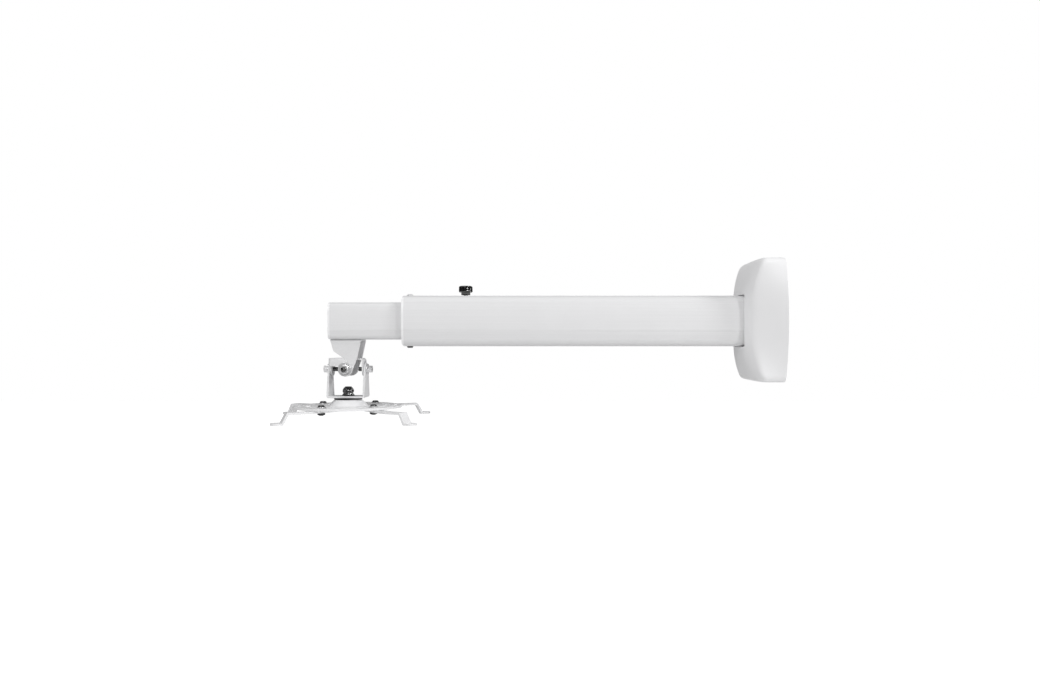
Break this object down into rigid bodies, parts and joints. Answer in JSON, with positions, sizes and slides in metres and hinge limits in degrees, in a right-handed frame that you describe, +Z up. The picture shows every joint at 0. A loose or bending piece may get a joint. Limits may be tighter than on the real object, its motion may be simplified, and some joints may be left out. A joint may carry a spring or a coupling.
{
  "type": "projector mount",
  "caption": "Telescopic square-tube wall arm with a tilting, rolling and swivelling head and a slotted round plate that carries adjustable feet.",
  "frame": {"origin": "centre of the wall plate's back face, on the wall", "axes": "+X into the wall, the tubes run towards -X, +Z up, the far side of the picture is +Y"},
  "size_m": [0.6134, 0.1718, 0.1888],
  "materials": {
    "coated_aluminium": "white powder coat on extruded aluminium",
    "coated_steel": "pale grey powder coat on sheet steel",
    "white_steel": "white powder coat on sheet steel",
    "zinc_plate": "bare zinc-plated sheet steel",
    "cover_plastic": "fine-grained white moulded plastic",
    "trim_plastic": "smooth white moulded plastic",
    "slide_plastic": "plain natural nylon",
    "black_plastic": "black moulded plastic",
    "black_nylon": "black nylon",
    "black_steel": "blackened steel fastener",
    "bright_steel": "bright zinc-plated fastener"
  },
  "bodies": {
    "wall_side": {"wall_plate": "zinc_plate", "outer_tube": "coated_aluminium", "tube_screws": "bright_steel", "guide_collar": "trim_plastic", "collar_plug": "bright_steel", "collar_screw": "black_steel", "knob_insert": "bright_steel"},
    "cover": {"wall_cover": "cover_plastic"},
    "knob": {"lock_knob": "black_plastic", "lock_stem": "black_steel"},
    "inner_arm": {"inner_tube": "coated_aluminium", "inner_end_cap": "trim_plastic", "rear_glide": "slide_plastic", "hanger_nut_plate": "zinc_plate", "hanger_bracket": "coated_steel", "hanger_screws": "bright_steel"},
    "gimbal": {"gimbal_bracket": "coated_steel", "roll_bolt": "black_steel", "roll_nut": "bright_steel", "roll_washers": "bright_steel", "tilt_bolts": "bright_steel", "tilt_washers": "bright_steel"},
    "swing_yoke": {"yoke": "coated_steel", "swivel_bolt": "black_steel", "swivel_nut": "black_steel", "swivel_washer": "black_steel"},
    "turntable": {"spider_disc": "white_steel", "friction_washer": "black_nylon"},
    "washer_front_left": {"clamp_washer_front_left": "black_steel"},
    "screw_front_left": {"clamp_screw_front_left": "black_steel", "clamp_nut_front_left": "black_steel"},
    "bar_front_left": {"arm_front_left": "white_steel"},
    "washer_front_right": {"clamp_washer_front_right": "black_steel"},
    "screw_front_right": {"clamp_screw_front_right": "black_steel", "clamp_nut_front_right": "black_steel"},
    "bar_front_right": {"arm_front_right": "white_steel"},
    "washer_rear_left": {"clamp_washer_rear_left": "black_steel"},
    "screw_rear_left": {"clamp_screw_rear_left": "black_steel", "clamp_nut_rear_left": "black_steel"},
    "bar_rear_left": {"arm_rear_left": "white_steel"},
    "washer_rear_right": {"clamp_washer_rear_right": "black_steel"},
    "screw_rear_right": {"clamp_screw_rear_right": "black_steel", "clamp_nut_rear_right": "black_steel"},
    "bar_rear_right": {"arm_rear_right": "white_steel"}
  },
  "joints": [
    {"name": "cover_slide", "type": "slide", "parent": "wall_side", "child": "cover", "axis": [-1, 0, 0], "range_m": [0, 0.3]},
    {"name": "telescope", "type": "slide", "parent": "wall_side", "child": "inner_arm", "axis": [-1, 0, 0], "range_m": [-0.045, 0.15]},
    {"name": "lock_knob_turn", "type": "hinge", "parent": "wall_side", "child": "knob", "pos_m": [-0.368, 0, 0.03], "axis": [0, 0, 1], "continuous": true},
    {"name": "head_roll", "type": "hinge", "parent": "inner_arm", "child": "gimbal", "pos_m": [-0.509, 0, -0.0574], "axis": [0, 1, 0], "range_deg": [-30, 20]},
    {"name": "head_tilt", "type": "hinge", "parent": "gimbal", "child": "swing_yoke", "pos_m": [-0.509, 0, -0.0574], "axis": [1, 0, 0], "range_deg": [-30, 30]},
    {"name": "head_swivel", "type": "hinge", "parent": "swing_yoke", "child": "turntable", "pos_m": [-0.509, 0, -0.0916], "axis": [0, 0, 1], "continuous": true},
    {"name": "front_left_travel", "type": "hinge", "parent": "turntable", "child": "washer_front_left", "pos_m": [-0.509, 0, -0.101], "axis": [0, 0, 1], "range_deg": [-8, 8]},
    {"name": "front_left_swing", "type": "hinge", "parent": "washer_front_left", "child": "screw_front_left", "pos_m": [-0.52938, -0.04124, -0.101], "axis": [0, 0, 1], "range_deg": [-15, 15]},
    {"name": "front_left_reach", "type": "slide", "parent": "screw_front_left", "child": "bar_front_left", "axis": [-0.6018, -0.7986, 0], "range_m": [-0.0145, 0.0295]},
    {"name": "front_right_travel", "type": "hinge", "parent": "turntable", "child": "washer_front_right", "pos_m": [-0.509, 0, -0.101], "axis": [0, 0, 1], "range_deg": [-8, 8]},
    {"name": "front_right_swing", "type": "hinge", "parent": "washer_front_right", "child": "screw_front_right", "pos_m": [-0.47241, -0.02788, -0.101], "axis": [0, 0, 1], "range_deg": [-15, 15]},
    {"name": "front_right_reach", "type": "slide", "parent": "screw_front_right", "child": "bar_front_right", "axis": [0.6157, -0.788, 0], "range_m": [-0.008, 0.0123]},
    {"name": "rear_left_travel", "type": "hinge", "parent": "turntable", "child": "washer_rear_left", "pos_m": [-0.509, 0, -0.101], "axis": [0, 0, 1], "range_deg": [-8, 8]},
    {"name": "rear_left_swing", "type": "hinge", "parent": "washer_rear_left", "child": "screw_rear_left", "pos_m": [-0.54673, 0.02632, -0.101], "axis": [0, 0, 1], "range_deg": [-15, 15]},
    {"name": "rear_left_reach", "type": "slide", "parent": "screw_rear_left", "child": "bar_rear_left", "axis": [-0.6428, 0.766, 0], "range_m": [-0.015, 0.002]},
    {"name": "rear_right_travel", "type": "hinge", "parent": "turntable", "child": "washer_rear_right", "pos_m": [-0.509, 0, -0.101], "axis": [0, 0, 1], "range_deg": [-8, 8]},
    {"name": "rear_right_swing", "type": "hinge", "parent": "washer_rear_right", "child": "screw_rear_right", "pos_m": [-0.48538, 0.03947, -0.101], "axis": [0, 0, 1], "range_deg": [-15, 15]},
    {"name": "rear_right_reach", "type": "slide", "parent": "screw_rear_right", "child": "bar_rear_right", "axis": [0.6428, 0.766, 0], "range_m": [-0.01, 0.0103]}
  ]
}
